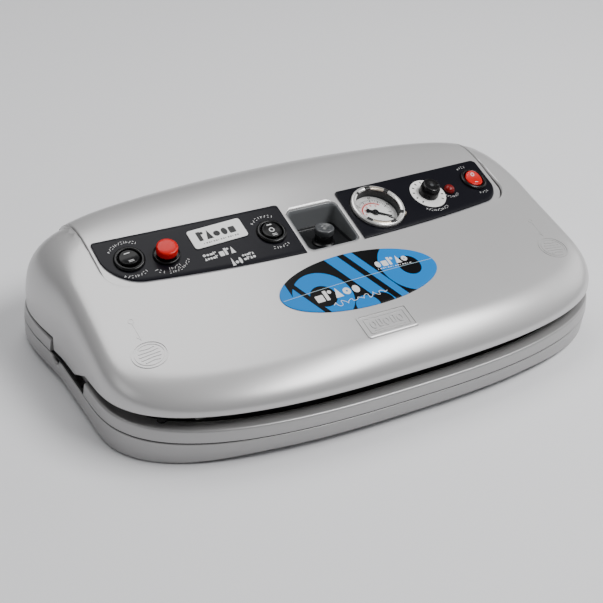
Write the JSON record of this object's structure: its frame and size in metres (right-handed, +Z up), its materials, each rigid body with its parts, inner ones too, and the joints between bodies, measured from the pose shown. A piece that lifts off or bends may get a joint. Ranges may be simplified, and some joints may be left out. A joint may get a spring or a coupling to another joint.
{
  "type": "vacuum chamber sealer",
  "caption": "Tabletop vacuum sealer with a sprung lid over a front seal bar, sloping control panels, a round gauge and a recessed valve well.",
  "frame": {"origin": "centre of the footprint, on the plane under the feet", "axes": "+X along the seal bar, to the right seen from the operator; -Y towards the operator; +Z up"},
  "size_m": [0.452, 0.278, 0.1093],
  "materials": {
    "silver": "satin silver-grey paint",
    "silver_lid": "satin silver-grey paint",
    "panel_black": "satin black printed panel",
    "black_gloss": "gloss black",
    "black_matt": "fine matt black",
    "grey_cup": "satin dark grey",
    "white": "satin white",
    "red": "gloss red",
    "dark_red": "gloss dark red",
    "chrome": "polished",
    "steel": "brushed",
    "alu": "satin",
    "rubber": "matt",
    "silicone": "matt white silicone",
    "blue": "printed gloss label",
    "tape": "woven heat-resistant tape",
    "copper": "varnished windings and core",
    "board": "circuit board",
    "cast": "cast",
    "glass": "clear",
    "hose": "smooth"
  },
  "bodies": {
    "housing": {"base_lower_shell": "silver", "base_upper_frame": "silver", "chassis_deck": "black_matt", "vacuum_tray": "steel", "base_gasket": "rubber", "seal_bar": "silicone", "heat_strip": "steel", "seal_tape": "tape", "suction_nozzle": "black_matt", "bag_stop": "rubber", "foot_front_left": "rubber", "foot_front_right": "rubber", "foot_rear_left": "rubber", "foot_rear_right": "rubber", "rear_cover": "silver", "panel_left": "panel_black", "panel_right": "panel_black", "well_cup": "grey_cup", "well_post": "black_matt", "bulkhead": "alu", "mode_bezel": "black_gloss", "source_bezel": "black_gloss", "power_bezel": "black_gloss", "start_collar": "black_gloss", "name_plate": "white", "gauge_case": "black_matt", "gauge_ring": "chrome", "gauge_face": "white", "gauge_window": "glass", "timer_dial": "white", "timer_pot": "steel", "indicator_lamp": "dark_red", "hinge_bracket_left": "steel", "hinge_bracket_right": "steel", "hinge_pin_left": "steel", "hinge_pin_right": "steel", "lid_spring_left": "steel", "lid_spring_right": "steel", "pump_body": "cast", "pump_motor": "steel", "transformer": "copper", "control_board": "board", "suction_hose": "hose", "mains_inlet": "black_matt", "fuse_holder": "black_matt"},
    "lid": {"lid_shell": "silver_lid", "oval_badge": "blue", "lid_liner": "alu", "lid_gasket": "rubber", "press_bar": "silicone", "hinge_arm_left": "steel", "hinge_arm_right": "steel"},
    "mode_switch": {"mode_rocker": "black_matt"},
    "source_switch": {"source_rocker": "black_matt"},
    "power_switch": {"power_rocker": "red"},
    "start": {"start_button": "red"},
    "timer": {"timer_knob": "black_matt"},
    "needle": {"gauge_needle": "black_matt"},
    "valve_cap": {"well_cap": "black_gloss"},
    "fan": {"motor_fan": "black_matt"}
  },
  "joints": [
    {"name": "lid_hinge", "type": "hinge", "parent": "housing", "child": "lid", "pos_m": [0, 0.07, 0.075], "axis": [1, 0, 0], "range_deg": [-3, 3], "stiffness_Nm_per_rad": 20, "springref_deg": -1.72, "deforming": ["lid_spring_left", "lid_spring_right"]},
    {"name": "mode_tilt", "type": "hinge", "parent": "housing", "child": "mode_switch", "pos_m": [-0.16064, 0.0241, 0.09154], "axis": [0.9949, 0, 0.1012], "range_deg": [0, 16]},
    {"name": "source_tilt", "type": "hinge", "parent": "housing", "child": "source_switch", "pos_m": [-0.04484, 0.0119, 0.09541], "axis": [0.9996, 0, 0.0284], "range_deg": [-8, 8]},
    {"name": "power_tilt", "type": "hinge", "parent": "housing", "child": "power_switch", "pos_m": [0.16274, 0.0259, 0.09186], "axis": [0.9947, 0, -0.1025], "range_deg": [-16, 0]},
    {"name": "start_press", "type": "slide", "parent": "housing", "child": "start", "axis": [0.0802, 0.2864, -0.9547], "range_m": [0, 0.0025], "stiffness_N_per_m": 600, "springref_m": -0.001},
    {"name": "timer_turn", "type": "hinge", "parent": "housing", "child": "timer", "pos_m": [0.10889, 0.0173, 0.09392], "axis": [0.0659, -0.2867, 0.9557], "range_deg": [-150, 150]},
    {"name": "needle_turn", "type": "hinge", "parent": "housing", "child": "needle", "pos_m": [0.05446, 0.01374, 0.08971], "axis": [0.0331, -0.2872, 0.9573], "range_deg": [-240, 30]},
    {"name": "valve_turn", "type": "hinge", "parent": "housing", "child": "valve_cap", "pos_m": [-0.0005, 0.004, 0.0887], "axis": [0, 0, 1], "range_deg": [-90, 90]},
    {"name": "fan_spin", "type": "hinge", "parent": "housing", "child": "fan", "pos_m": [0.003, 0.077, 0.04], "axis": [1, 0, 0], "continuous": true}
  ]
}
